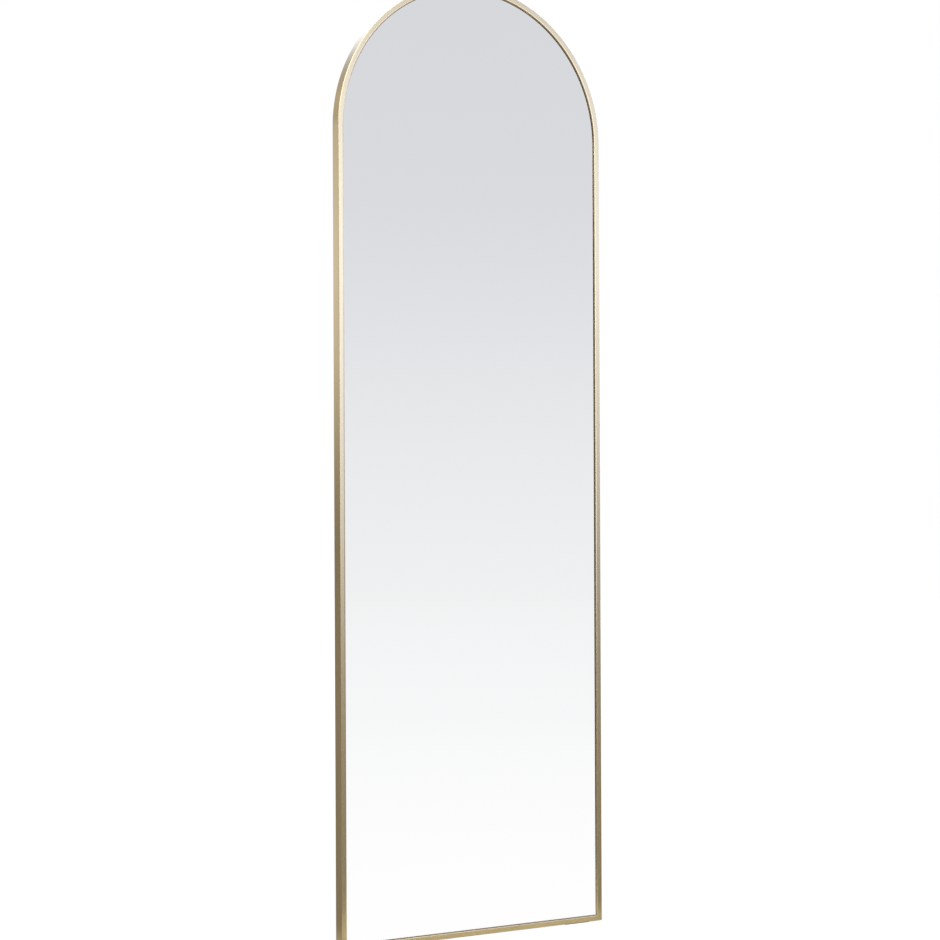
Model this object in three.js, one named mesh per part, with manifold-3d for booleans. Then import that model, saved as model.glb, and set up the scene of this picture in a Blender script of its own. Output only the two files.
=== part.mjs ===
// An arched floor mirror in a slim bent metal frame, made to lean on a wall. Sizes are in millimetres.
// +X is to the right seen from the front, -Y faces the room and +Z is up. The origin is on the floor,
// under the middle of the mirror's width and depth.
import * as THREE from "three";
import { mergeVertices } from "three/addons/utils/BufferGeometryUtils.js";
import Module from "manifold-3d";

const wasm = await Module();
wasm.setup();

// The whole mirror
const width = 610;
const height = 1930;

// Clearances
const faceGap = 0.1; // between faces that press on each other
const looseGap = 0.3; // between pieces that are pushed or laid together

// Frame extrusion. In its section, s runs inward from the outer side and d runs back from the front.
const frameDepth = 25;
const faceWidth = 12;
const wall = 1.5;
const lipThickness = 3;
const lipRadius = 2; // of the lip's rounded edge beside the mirror
const edgeRadius = 0.8;
const ribWidth = 6.6; // beside the glass, hollow for the corner keys and grooved for the board screws
const grooveWidth = 2.6;
const grooveDepth = 4.5;
const mitreGap = 0.3;

// Corner keys, pushed into the hollow rib on both sides of a mitre
const keyLeg = 48;
const keyShoulder = 12; // smooth stretch beside the corner
const barbPitch = 6;
const barbDepth = 0.6;

// Mirror glass and what lies round it
const glassThickness = 4;
const glassEdgeGap = 1; // from the glass's edge to the rib
const sealThickness = 0.8;
const sealWidth = 2.2;
const sealSetback = 0.5; // from the lip's inner edge, so that the tape stays out of sight
const filmThickness = 0.2;
const filmInset = 1.5;
const cardThickness = 4.6;
const cardInset = 1; // from the glass's edge
const blockLength = 40;
const blockInset = 150; // from the frame's side to the middle of a setting block

// Backing board and its screws
const boardThickness = 5;
const boardEdgeGap = 0.4;
const boardScrewPitch = 250;
const boardScrewEnd = 60; // from a lower corner to the first screw
const boardScrewRadius = 1.1;
const boardHeadRadius = 2.5;
const boardHeadHeight = 1.6;
const holeClearance = 0.4;

// Strap hangers and their rings
const hangerHeight = 1480; // of the rings' hinge above the floor
const hangerInset = 45; // from the frame's side to the middle of a strap
const strapWidth = 14;
const strapLength = 48;
const strapThickness = 1.5;
const strapScrewFirst = 23; // below the hinge, clear of the hanging ring
const strapScrewPitch = 18;
const strapScrewRadius = 1.5;
const strapHeadRadius = 2.9;
const strapHeadHeight = 1.6;
const eyeEnd = 200; // degrees where the rolled eye stops, from straight up
const wireRadius = 1.5;
const ringHalfWidth = 11.5; // from the ring's middle to its wire's middle
const ringCorner = 4;

// Wall bumpers
const bumperProud = 3; // how far a bumper stands out behind the frame
const bumperInset = 24; // from the frame's outer side to a bumper's middle
const bumperAngle = 20; // degrees from the arch's crown to an upper bumper
const bumperRadius = 10;
const bumperTaper = 1.5;
const bumperRound = 1.5;
const bumperBore = 2.2;
const bumperWell = 4.6;
const bumperWellDepth = 5;
const bumperScrewRadius = 1.7;
const bumperHeadRadius = 3.6;
const bumperHeadHeight = 2;

// Foot pads
const footLength = 60;
const footDepth = 22;
const footThickness = 1.2;
const footCorner = 4;
const footInset = 60; // from the frame's side to the middle of a pad

// Facets
const archSegments = 64;
const edgeSegments = 2;
const holeSegments = 12;
const headSegments = 10;
const bumperSegments = 20;
const eyeSegments = 16;
const wireSides = 8;

// Places worked out from the sizes
const radius = width / 2;
const springHeight = height - radius; // where the stiles end and the arch begins
const frontY = -(frameDepth + bumperProud) / 2;
const ribInner = wall + ribWidth; // s of the rib's inner side
const grooveLine = wall + ribWidth / 2; // s of the screw groove
const glassInset = ribInner + glassEdgeGap;
const sealFront = lipThickness + faceGap;
const glassFront = sealFront + sealThickness + faceGap;
const glassBack = glassFront + glassThickness;
const filmFront = glassBack + faceGap;
const filmBack = filmFront + filmThickness;
const cardFront = filmBack + faceGap;
const boardFront = cardFront + cardThickness + faceGap;
const boardBack = boardFront + boardThickness;
const ribBack = boardFront - faceGap;
const grooveFloor = ribBack - grooveDepth;
const chamberBack = grooveFloor - wall;
const hardwareFront = boardBack + faceGap; // d of what is fixed on the board
const eyeOuter = wireRadius + looseGap + strapThickness;
const hingeDepth = hardwareFront + eyeOuter;

const metals = { metalness: 1, roughness: 0.35 };
const gold = new THREE.MeshStandardMaterial({ ...metals, color: 0xc8b48c });
const zinc = new THREE.MeshStandardMaterial({ ...metals, color: 0x9a9c9e });
const steel = new THREE.MeshStandardMaterial({ ...metals, color: 0xc2c4c6 });
const silvering = new THREE.MeshStandardMaterial({ metalness: 1, roughness: 0.02, color: 0xe8ebee });
const foam = new THREE.MeshStandardMaterial({ metalness: 0, roughness: 0.9, color: 0x2a2a2a });
const plasticFilm = new THREE.MeshStandardMaterial({ metalness: 0, roughness: 0.4, color: 0x8fa3b5 });
const card = new THREE.MeshStandardMaterial({ metalness: 0, roughness: 0.9, color: 0xa07e55 });
const fibreboard = new THREE.MeshStandardMaterial({ metalness: 0, roughness: 0.8, color: 0x4a3a2c });
const rubber = new THREE.MeshStandardMaterial({ metalness: 0, roughness: 0.85, color: 0x1c1c1c });

const mirror = new THREE.Group();

// Hangs a named piece on the mirror. The place is that of the geometry's own origin.
function addPiece(name, geometry, material, x = 0, y = 0, z = 0) {
  const mesh = new THREE.Mesh(geometry, material);
  mesh.name = name;
  mesh.position.set(x, y, z);
  mirror.add(mesh);
  return mesh;
}

// Skins section loops that are carried from station to station. A station turns a section point into
// a point in space. An outer loop runs anticlockwise and a hole clockwise, seen against the path.
function sweep(loops, stations) {
  const section = loops.flat();
  const count = section.length;
  const positions = stations.flatMap((place) => section.flatMap(([s, d]) => place(s, d)));
  const faces = [];
  let first = 0;
  for (const loop of loops) {
    for (let i = 0; i < loop.length; i++) {
      const a = first + i;
      const b = first + ((i + 1) % loop.length);
      for (let near = 0; near < (stations.length - 1) * count; near += count) {
        const far = near + count;
        faces.push(near + a, near + b, far + b, near + a, far + b, far + a);
      }
    }
    first += loop.length;
  }
  const [outer, ...holes] = loops.map((loop) => loop.map(([s, d]) => new THREE.Vector2(s, d)));
  const end = (stations.length - 1) * count;
  for (const [a, b, c] of THREE.ShapeUtils.triangulateShape(outer, holes)) {
    faces.push(a, c, b, end + a, end + b, end + c);
  }
  const geometry = new THREE.BufferGeometry();
  geometry.setAttribute("position", new THREE.Float32BufferAttribute(positions, 3));
  geometry.setIndex(faces);
  return geometry;
}

// A round wire bent along a closed centre line in the XZ plane.
function closedWire(centres, thickness) {
  const positions = [];
  const faces = [];
  const count = centres.length;
  centres.forEach((centre, i) => {
    const ahead = centres[(i + 1) % count];
    const behind = centres[(i + count - 1) % count];
    const along = ahead.clone().sub(behind).normalize();
    for (let k = 0; k < wireSides; k++) {
      const angle = (2 * Math.PI * k) / wireSides;
      const out = thickness * Math.cos(angle);
      positions.push(centre.x + along.y * out, thickness * Math.sin(angle), centre.y - along.x * out);
    }
    const near = i * wireSides;
    const far = ((i + 1) % count) * wireSides;
    for (let k = 0; k < wireSides; k++) {
      const next = (k + 1) % wireSides;
      faces.push(near + k, far + next, far + k, near + k, near + next, far + next);
    }
  });
  const geometry = new THREE.BufferGeometry();
  geometry.setAttribute("position", new THREE.Float32BufferAttribute(positions, 3));
  geometry.setIndex(faces);
  return geometry;
}

function toSolid(geometry) {
  const bare = geometry.clone();
  bare.deleteAttribute("normal");
  bare.deleteAttribute("uv");
  const merged = mergeVertices(bare, 1e-4);
  const vertProperties = new Float32Array(merged.attributes.position.array);
  const triVerts = new Uint32Array(merged.index.array);
  return new wasm.Manifold(new wasm.Mesh({ numProp: 3, vertProperties, triVerts }));
}

function join(...geometries) {
  const mesh = geometries
    .map(toSolid)
    .reduce((whole, next) => whole.add(next))
    .getMesh();
  const geometry = new THREE.BufferGeometry();
  geometry.setAttribute("position", new THREE.Float32BufferAttribute(mesh.vertProperties, 3));
  geometry.setIndex([...mesh.triVerts]);
  return geometry;
}

// The mirror's outline, drawn in X and Z, moved inward by an inset all the way round.
function archOutline(inset, outline = new THREE.Shape()) {
  const half = radius - inset;
  const bottom = footThickness + inset;
  outline.moveTo(-half, bottom);
  outline.lineTo(half, bottom);
  outline.lineTo(half, springHeight);
  outline.absarc(0, springHeight, half, 0, Math.PI, false);
  outline.lineTo(-half, bottom);
  return outline;
}

function circle(x, z, holeRadius) {
  return new THREE.Path().absarc(x, z, holeRadius, 0, 2 * Math.PI, true);
}

// A sheet with an outline in X and Z, from depth d towards the back.
function addSheet(name, outline, d, thickness, material, segments = archSegments) {
  const flat = { depth: thickness, bevelEnabled: false, curveSegments: segments / 2 };
  const geometry = new THREE.ExtrudeGeometry(outline, flat);
  const mesh = addPiece(name, geometry, material, 0, frontY + d + thickness, 0);
  mesh.rotation.x = Math.PI / 2;
  return mesh;
}

function arcPoints(s, d, arcRadius, from, to, segments) {
  return Array.from({ length: segments + 1 }, (_, i) => {
    const angle = THREE.MathUtils.degToRad(from + ((to - from) * i) / segments);
    return [s + arcRadius * Math.cos(angle), d + arcRadius * Math.sin(angle)];
  });
}

// The extrusion: a lip in front of the glass, a rib beside it and a thin outer wall. The rib has a
// chamber for the corner keys and, behind that, an open groove for the board's screws.
function frameSection() {
  const grooveHalf = grooveWidth / 2;
  const outer = [
    [0, frameDepth],
    ...arcPoints(edgeRadius, edgeRadius, edgeRadius, 180, 270, edgeSegments),
    ...arcPoints(faceWidth - lipRadius, lipRadius, lipRadius, 270, 360, edgeSegments + 1),
    [faceWidth, lipThickness],
    [ribInner, lipThickness],
    [ribInner, ribBack],
    [grooveLine + grooveHalf, ribBack],
    [grooveLine + grooveHalf, grooveFloor],
    [grooveLine - grooveHalf, grooveFloor],
    [grooveLine - grooveHalf, ribBack],
    [wall, ribBack],
    [wall, frameDepth],
  ];
  const chamber = [
    [wall, wall],
    [wall, chamberBack],
    [ribInner - wall, chamberBack],
    [ribInner - wall, wall],
  ];
  return [outer, chamber];
}

function addFrame() {
  const section = frameSection();
  const halfGap = mitreGap / 2;
  const stileFoot = (side) => (s, d) => [side * (radius - s), frontY + d, footThickness + s + halfGap];
  const archStations = Array.from({ length: archSegments + 1 }, (_, i) => {
    const angle = Math.PI * (1 - i / archSegments);
    return (s, d) => [
      (radius - s) * Math.cos(angle),
      frontY + d,
      springHeight + (radius - s) * Math.sin(angle),
    ];
  });
  const railEnd = (side) => (s, d) => [side * (radius - s - halfGap), frontY + d, footThickness + s];
  addPiece("frame_bow", sweep(section, [stileFoot(-1), ...archStations, stileFoot(1)]), gold);
  addPiece("bottom_rail", sweep(section, [railEnd(1), railEnd(-1)]), gold);
}

// An L with sawtooth barbs on the inner edges of both legs, which hold it in the hollow rib.
function addCornerKey(name, side) {
  const near = wall + looseGap;
  const far = ribInner - wall - looseGap;
  const barbs = Math.floor((keyLeg - far - keyShoulder) / barbPitch);
  const leg = [[keyLeg, far - barbDepth]];
  for (let i = 1; i <= barbs; i++) {
    const foot = keyLeg - i * barbPitch;
    leg.push([foot, far], [foot, i < barbs ? far - barbDepth : far]);
  }
  leg.pop();
  const otherLeg = leg.map(([a, b]) => [b, a]).reverse();
  const corners = [[near, near], [keyLeg, near], ...leg, [far, far], ...otherLeg, [near, keyLeg]];
  const outline = corners.map(([a, b]) => new THREE.Vector2(side * (radius - a), footThickness + b));
  addSheet(name, new THREE.Shape(outline), near, chamberBack - looseGap - near, zinc);
}

function addGlazing() {
  const seal = archOutline(faceWidth - sealSetback - sealWidth);
  seal.holes.push(archOutline(faceWidth - sealSetback, new THREE.Path()));
  addSheet("bedding_tape", seal, sealFront, sealThickness, foam);
  addSheet("mirror_glass", archOutline(glassInset), glassFront, glassThickness, silvering);
  addSheet("safety_film", archOutline(glassInset + filmInset), filmFront, filmThickness, plasticFilm);
  addSheet("card_sheet", archOutline(glassInset + cardInset), cardFront, cardThickness, card);
  const blockHeight = glassEdgeGap - 2 * faceGap;
  for (const [name, side] of sides("setting_block")) {
    const block = new THREE.BoxGeometry(blockLength, glassThickness, blockHeight);
    const x = side * (radius - blockInset);
    const z = footThickness + glassInset - glassEdgeGap / 2;
    addPiece(name, block, rubber, x, frontY + (glassFront + glassBack) / 2, z);
  }
}

function sides(name) {
  return [
    [name + "_left", -1],
    [name + "_right", 1],
  ];
}

// Where the board's screws stand: up each stile, round the arch and along the rail, on the groove.
function boardScrewPlaces() {
  const places = [];
  const reach = radius - grooveLine;
  const lowest = footThickness + boardScrewEnd;
  const stileSteps = Math.max(1, Math.round((springHeight - lowest) / boardScrewPitch));
  for (const [name, side] of sides("board_screw")) {
    for (let i = 0; i <= stileSteps; i++) {
      const z = lowest + ((springHeight - lowest) * i) / stileSteps;
      places.push([name + "_" + (i + 1), side * reach, z]);
    }
  }
  const archSteps = Math.max(2, Math.round((Math.PI * reach) / boardScrewPitch));
  for (let i = 1; i < archSteps; i++) {
    const angle = Math.PI * (1 - i / archSteps);
    const z = springHeight + reach * Math.sin(angle);
    places.push(["board_screw_arch_" + i, reach * Math.cos(angle), z]);
  }
  const railHalf = radius - boardScrewEnd;
  const railSteps = Math.max(1, Math.round((2 * railHalf) / boardScrewPitch));
  for (let i = 0; i <= railSteps; i++) {
    const x = railHalf * ((2 * i) / railSteps - 1);
    places.push(["board_screw_rail_" + (i + 1), x, footThickness + grooveLine]);
  }
  return places;
}

function strapScrewPlaces() {
  const places = [];
  for (const [name, side] of sides("hanger_screw")) {
    const x = side * (radius - hangerInset);
    places.push([name + "_upper", x, hangerHeight - strapScrewFirst]);
    places.push([name + "_lower", x, hangerHeight - strapScrewFirst - strapScrewPitch]);
  }
  return places;
}

function bumperPlaces() {
  const reach = radius - bumperInset;
  const angle = THREE.MathUtils.degToRad(bumperAngle);
  return [
    ["lower_left", -reach, footThickness + bumperInset],
    ["lower_right", reach, footThickness + bumperInset],
    ["upper_left", -reach * Math.sin(angle), springHeight + reach * Math.cos(angle)],
    ["upper_right", reach * Math.sin(angle), springHeight + reach * Math.cos(angle)],
  ];
}

// The board is drilled for every screw that passes it.
function addBackingBoard() {
  const outline = archOutline(wall + boardEdgeGap);
  const drilled = [
    [boardScrewPlaces(), boardScrewRadius],
    [strapScrewPlaces(), strapScrewRadius],
    [bumperPlaces(), bumperScrewRadius],
  ];
  for (const [places, screwRadius] of drilled) {
    for (const [, x, z] of places) outline.holes.push(circle(x, z, screwRadius + holeClearance));
  }
  addBoard(outline);
}

// The holes need far fewer facets than the arch, so the arch is drawn as its own chords.
function addBoard(outline) {
  const edge = outline.getPoints(archSegments / 2);
  const chords = new THREE.Shape(edge);
  chords.holes = outline.holes;
  addSheet("backing_board", chords, boardFront, boardThickness, fibreboard, holeSegments);
}

// A pan-head screw standing on its head's underside, with its shank towards the front.
function panScrew(shankRadius, shankLength, headRadius, headHeight) {
  const profile = [
    [0, -shankLength],
    [shankRadius * 0.4, -shankLength],
    [shankRadius, -shankLength + shankRadius],
    [shankRadius, 0],
    [headRadius, 0],
    [headRadius, headHeight * 0.45],
    [headRadius * 0.72, headHeight * 0.88],
    [0, headHeight],
  ];
  const points = profile.map(([r, h]) => new THREE.Vector2(r, h));
  return new THREE.LatheGeometry(points, headSegments);
}

function addBoardScrews() {
  const shank = faceGap + boardThickness + grooveDepth;
  for (const [name, x, z] of boardScrewPlaces()) {
    const screw = panScrew(boardScrewRadius, shank, boardHeadRadius, boardHeadHeight);
    addPiece(name, screw, steel, x, frontY + boardBack + faceGap, z);
  }
}

// A strap whose upper end is rolled into an eye round the ring's bar. Its origin is on the board's
// face, at the hinge's height, and its eye is drawn from the side and stretched along X.
function strapGeometry() {
  const half = strapWidth / 2;
  const plan = new THREE.Shape();
  plan.moveTo(half, 0);
  plan.lineTo(-half, 0);
  plan.lineTo(-half, half - strapLength);
  plan.absarc(0, half - strapLength, half, Math.PI, 2 * Math.PI, false);
  plan.lineTo(half, 0);
  for (const drop of [strapScrewFirst, strapScrewFirst + strapScrewPitch]) {
    plan.holes.push(circle(0, -drop, strapScrewRadius + holeClearance));
  }
  const flat = { depth: strapThickness, bevelEnabled: false, curveSegments: holeSegments / 2 };
  const plate = new THREE.ExtrudeGeometry(plan, flat);
  plate.rotateX(Math.PI / 2);
  plate.translate(0, strapThickness, 0);

  const inner = eyeOuter - strapThickness;
  const roll = arcPoints(0, eyeOuter, eyeOuter, -90, eyeEnd, eyeSegments);
  const back = arcPoints(0, eyeOuter, inner, eyeEnd, -90, eyeSegments);
  const tail = [
    [-strapThickness, strapThickness],
    [-strapThickness, 0],
  ];
  const side = new THREE.Shape([...roll, ...back, ...tail].map(([z, y]) => new THREE.Vector2(y, z)));
  const eye = new THREE.ExtrudeGeometry(side, { depth: strapWidth, bevelEnabled: false });
  // Turns (y, z, along) into (along, y, z).
  eye.applyMatrix4(new THREE.Matrix4().makeBasis(
    new THREE.Vector3(0, 1, 0),
    new THREE.Vector3(0, 0, 1),
    new THREE.Vector3(1, 0, 0),
  ));
  eye.translate(-half, 0, 0);
  return join(plate, eye);
}

// A D of round wire: its bar lies in the eye, and its bow hangs below.
function ringGeometry() {
  const flat = ringHalfWidth - ringCorner;
  const line = new THREE.Path();
  line.moveTo(flat, 0);
  line.lineTo(-flat, 0);
  line.absarc(-flat, -ringCorner, ringCorner, Math.PI / 2, Math.PI, false);
  line.absarc(0, -ringCorner, ringHalfWidth, Math.PI, 2 * Math.PI, false);
  line.absarc(flat, -ringCorner, ringCorner, 0, Math.PI / 2, false);
  const points = line.getPoints(eyeSegments / 2);
  const centres = points.filter((p, i) => i === 0 || p.distanceTo(points[i - 1]) > 1e-6);
  if (centres[0].distanceTo(centres[centres.length - 1]) < 1e-6) centres.pop();
  return closedWire(centres, wireRadius);
}

function addHangers() {
  for (const [name, side] of sides("hanger_strap")) {
    const x = side * (radius - hangerInset);
    addPiece(name, strapGeometry(), steel, x, frontY + hardwareFront, hangerHeight);
  }
  for (const [name, side] of sides("hanger_ring")) {
    const x = side * (radius - hangerInset);
    addPiece(name, ringGeometry(), steel, x, frontY + hingeDepth, hangerHeight);
  }
  const seat = hardwareFront + strapThickness + faceGap;
  const shank = seat - boardFront - looseGap;
  for (const [name, x, z] of strapScrewPlaces()) {
    const screw = panScrew(strapScrewRadius, shank, strapHeadRadius, strapHeadHeight);
    addPiece(name, screw, steel, x, frontY + seat, z);
  }
}

// A tapered rubber buffer with a well for its screw.
function bumperGeometry(bumperHeight) {
  const top = bumperRadius - bumperTaper;
  const wellFloor = bumperHeight - bumperWellDepth;
  const profile = [
    [bumperBore, 0],
    [bumperRadius, 0],
    ...arcPoints(top - bumperRound, bumperHeight - bumperRound, bumperRound, 0, 90, edgeSegments + 1),
    [bumperWell, bumperHeight],
    [bumperWell, wellFloor],
    [bumperBore, wellFloor],
    [bumperBore, 0],
  ];
  const points = profile.map(([r, h]) => new THREE.Vector2(r, h));
  return new THREE.LatheGeometry(points, bumperSegments);
}

function addBumpers() {
  const bumperHeight = frameDepth + bumperProud - hardwareFront;
  const seat = hardwareFront + bumperHeight - bumperWellDepth + faceGap;
  const shank = seat - boardFront - looseGap;
  for (const [place, x, z] of bumperPlaces()) {
    addPiece("bumper_" + place, bumperGeometry(bumperHeight), rubber, x, frontY + hardwareFront, z);
    const screw = panScrew(bumperScrewRadius, shank, bumperHeadRadius, bumperHeadHeight);
    addPiece("bumper_screw_" + place, screw, steel, x, frontY + seat, z);
  }
}

// A thin pad with rounded corners, drawn in X and Y.
function footGeometry() {
  const x = footLength / 2 - footCorner;
  const y = footDepth / 2 - footCorner;
  const quarter = Math.PI / 2;
  const outline = new THREE.Shape();
  outline.absarc(x, y, footCorner, 0, quarter, false);
  outline.absarc(-x, y, footCorner, quarter, 2 * quarter, false);
  outline.absarc(-x, -y, footCorner, 2 * quarter, 3 * quarter, false);
  outline.absarc(x, -y, footCorner, 3 * quarter, 4 * quarter, false);
  const flat = { depth: footThickness - faceGap, bevelEnabled: false, curveSegments: edgeSegments };
  return new THREE.ExtrudeGeometry(outline, flat);
}

function addFeet() {
  for (const [name, side] of sides("foot_pad")) {
    const x = side * (radius - footInset);
    addPiece(name, footGeometry(), rubber, x, frontY + frameDepth / 2, 0);
  }
}

addFrame();
for (const [name, side] of sides("corner_key")) addCornerKey(name, side);
addGlazing();
addBackingBoard();
addBoardScrews();
addHangers();
addBumpers();
addFeet();

export default mirror;
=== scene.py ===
"""An arched floor mirror in a slim satin gold frame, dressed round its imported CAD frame."""

import math

import bpy
import numpy as np
from bpy.props import FloatProperty, FloatVectorProperty, IntProperty, PointerProperty
from mathutils import Matrix, Vector
from mathutils.geometry import delaunay_2d_cdt


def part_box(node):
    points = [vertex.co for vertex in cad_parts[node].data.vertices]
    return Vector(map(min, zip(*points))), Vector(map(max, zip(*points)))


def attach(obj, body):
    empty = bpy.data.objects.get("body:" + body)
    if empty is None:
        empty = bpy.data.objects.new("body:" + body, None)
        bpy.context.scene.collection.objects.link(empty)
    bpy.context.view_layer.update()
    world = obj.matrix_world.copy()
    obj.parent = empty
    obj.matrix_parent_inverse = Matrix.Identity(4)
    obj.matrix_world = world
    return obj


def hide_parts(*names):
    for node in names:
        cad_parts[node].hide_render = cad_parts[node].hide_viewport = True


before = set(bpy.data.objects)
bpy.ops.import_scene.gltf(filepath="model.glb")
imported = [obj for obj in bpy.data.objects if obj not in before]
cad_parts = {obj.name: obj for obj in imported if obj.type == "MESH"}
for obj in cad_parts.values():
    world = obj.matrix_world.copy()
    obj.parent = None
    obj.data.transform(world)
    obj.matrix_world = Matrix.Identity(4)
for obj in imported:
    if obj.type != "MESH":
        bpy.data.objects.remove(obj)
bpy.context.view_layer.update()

bl_info = {
    "name": "Arched Floor Mirror",
    "version": (1, 0, 0),
    "blender": (4, 5, 0),
    "location": "3D View > Sidebar > Floor Mirror",
    "description": "Builds a tall arched mirror with its extruded frame, its back and its fittings",
    "category": "Object",
}

MM = 0.001
UP = Vector((0, 0, 1))
FIXED = "mirror"  # the body that everything but the two rings rides on
FIBRE = (7 * MM, 5 * MM, 0.5 * MM)  # length, spread and breadth of the board's wood fibres

# The profile's section. Widths run inward from its outer side.
RIB_WIDTH = 8.1 * MM  # of the hollow rib behind the lip, with the outer wall
GROOVE_NEAR, GROOVE_FAR, GROOVE_DEPTH = 3.5 * MM, 6.1 * MM, 4.5 * MM  # the screw groove in the rib
BOARD_GAP = 0.1 * MM  # between the rib and the backing board
SMALL_EDGE = 0.25 * MM  # radius of the profile's lesser edges
SLOPE_START = 8 * MM  # radius where the face passes into its sloping strip
TAPE_WIDTH = 2.2 * MM
TAPE_EDGE = 0.36  # radius of the tape's edges, as a share of its thickness
STRAP_THICKNESS, STRAP_EDGE = 1.5 * MM, 0.3 * MM
RING_CORNER = 4 * MM  # radius of the two corners beside a ring's bar
PAD_CORNER, PAD_EDGE = 4 * MM, 0.35 * MM
SCREW_SIDES = 48


def span(node):
    """Lowest and highest corner of a CAD node, as two numpy arrays in metres."""
    low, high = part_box(node)
    return np.array(low), np.array(high)


BOW_LOW, BOW_HIGH = span("frame_bow")
BOARD_LOW, BOARD_HIGH = span("backing_board")
GLASS_LOW, GLASS_HIGH = span("mirror_glass")
TAPE_LOW, TAPE_HIGH = span("bedding_tape")
RAIL_LOW = span("bottom_rail")[0]


def length(name, description, default):
    """A size in metres that a user can change."""
    return FloatProperty(
        name=name, description=description, default=float(default), unit="LENGTH", precision=5
    )


def angle(name, description, default):
    """An angle in radians that a user can change."""
    return FloatProperty(name=name, description=description, default=default, subtype="ANGLE")


def facets(name, description, default, low):
    """A number of facets that a user can change."""
    return IntProperty(name=name, description=description, default=default, min=low)


def colour(name, description, default):
    """A linear colour that a user can change."""
    return FloatVectorProperty(
        name=name, description=description, default=default, subtype="COLOR", size=3, min=0, max=1
    )


def amount(name, description, default):
    """A share from 0 to 1 that a user can change."""
    return FloatProperty(name=name, description=description, default=default, min=0, max=1)


class FrameSettings(bpy.types.PropertyGroup):
    """The bent metal frame"""

    width: length("Width", "Across the frame's outer sides", BOW_HIGH[0] - BOW_LOW[0])
    height: length("Height", "From the rail's underside to the arch's crown", BOW_HIGH[2] - RAIL_LOW[2])
    depth: length("Depth", "Of the extrusion, front to back", BOW_HIGH[1] - BOW_LOW[1])
    face: length("Face width", "Of the extrusion, seen from the front", 12 * MM)
    wall: length("Wall", "Thickness of the outer wall", 1.5 * MM)
    lip: length("Lip", "Thickness of the lip in front of the glass", 3 * MM)
    lip_radius: length("Lip radius", "Of the rounded edge beside the mirror", 2 * MM)
    slope_width: length("Slope width", "Of the slightly sloping strip beside the lip's edge", 2.9 * MM)
    slope_fall: length("Slope fall", "Of that strip, towards the mirror", 0.37 * MM)
    edge_radius: length("Edge radius", "Of the rounded outer front edge", 0.8 * MM)
    mitre_gap: length("Mitre gap", "Hairline between bow and rail", 0.3 * MM)
    arch_steps: facets("Arch steps", "Facets round the arch", 256, 16)
    gold: colour("Gold", "Base colour of the satin anodised metal", (0.82, 0.72, 0.48))
    satin: amount("Satin", "Roughness of the anodised metal", 0.2)


class GlazingSettings(bpy.types.PropertyGroup):
    """The mirror glass and its bedding"""

    arris: length("Arris", "Ground edge of the glass", 0.5 * MM)
    silver: colour("Silver", "Reflection colour of the mirror", (0.985, 0.987, 0.985))
    foam: colour("Foam", "Colour of the bedding tape", (0.02, 0.02, 0.02))


class BackSettings(bpy.types.PropertyGroup):
    """The back and its fittings"""

    board: colour("Board", "Main colour of the stained board", (0.068, 0.051, 0.039))
    steel: colour("Steel", "Plating of screws, straps and rings", (0.62, 0.62, 0.61))
    rubber: colour("Rubber", "Colour of bumpers and foot pads", (0.018, 0.018, 0.019))
    wire_sides: facets("Wire sides", "Facets round a ring's wire", 24, 8)
    turn_sides: facets("Turned sides", "Facets round a bumper", 48, 12)


class StageSettings(bpy.types.PropertyGroup):
    """The camera and the floor"""

    lens: length("Lens", "Focal length of the camera in metres on a 36 mm sensor", 87.33 * MM)
    camera_x: length("Camera X", "Across the mirror", -2.3178)
    camera_y: length("Camera Y", "In front of the mirror", -4.0229)
    camera_z: length("Camera Z", "Above the floor", 0.9463)
    heading: angle("Heading", "Turn from straight on", math.radians(29.93))
    roll: angle("Roll", "Turn round the line of sight", -0.0043)
    floor_radius: length("Floor radius", "Of the pale floor disc", 12)
    # The near tone is lighter than the far one: a painted pool of light on the floor round the mirror's
    # foot.
    floor_near_painted_light: colour("Floor near", "Matt tone of the floor at the mirror's foot", (0.53, 0.50, 0.40))
    floor_far: colour("Floor far", "Matt tone of the floor from half a metre on", (0.26, 0.235, 0.19))


# ---------------------------------------------------------------------------------------------------
# Shader nodes


def put(tree, kind, sources=(), **settings):
    """One shader node. Settings are its attributes, and sources fill its inputs with values or outputs."""
    item = tree.nodes.new(kind)
    for key, value in settings.items():
        setattr(item, key, value)
    for key, value in dict(sources).items():
        if isinstance(value, bpy.types.NodeSocket):
            tree.links.new(value, item.inputs[key])
        else:
            item.inputs[key].default_value = value
    return item


def scaled(tree, source, scale):
    """Coordinates stretched by three factors. The source is the name of a Texture Coordinate output."""
    place = put(tree, "ShaderNodeTexCoord").outputs[source]
    return put(tree, "ShaderNodeMapping", {"Vector": place, "Scale": scale}).outputs["Vector"]


def speckle(tree, size, *more):
    """A noise on the object's own coordinates, stretched alike in every direction."""
    return grain(tree, scaled(tree, "Object", (size, size, size)), 1.0, *more)


def grain(tree, vector, scale, detail=4.0, roughness=0.55, distortion=0.0):
    """A noise between 0 and 1."""
    sources = {"Vector": vector, "Scale": scale, "Detail": detail, "Roughness": roughness}
    sources["Distortion"] = distortion
    return put(tree, "ShaderNodeTexNoise", sources).outputs["Fac"]


def remap(tree, value, low, high, to_low, to_high, smooth=False):
    """A value carried from one range to another and held at its ends."""
    kind = "SMOOTHSTEP" if smooth else "LINEAR"
    sources = {"Value": value, "From Min": low, "From Max": high, "To Min": to_low, "To Max": to_high}
    return put(tree, "ShaderNodeMapRange", sources, interpolation_type=kind, clamp=True).outputs["Result"]


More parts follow.
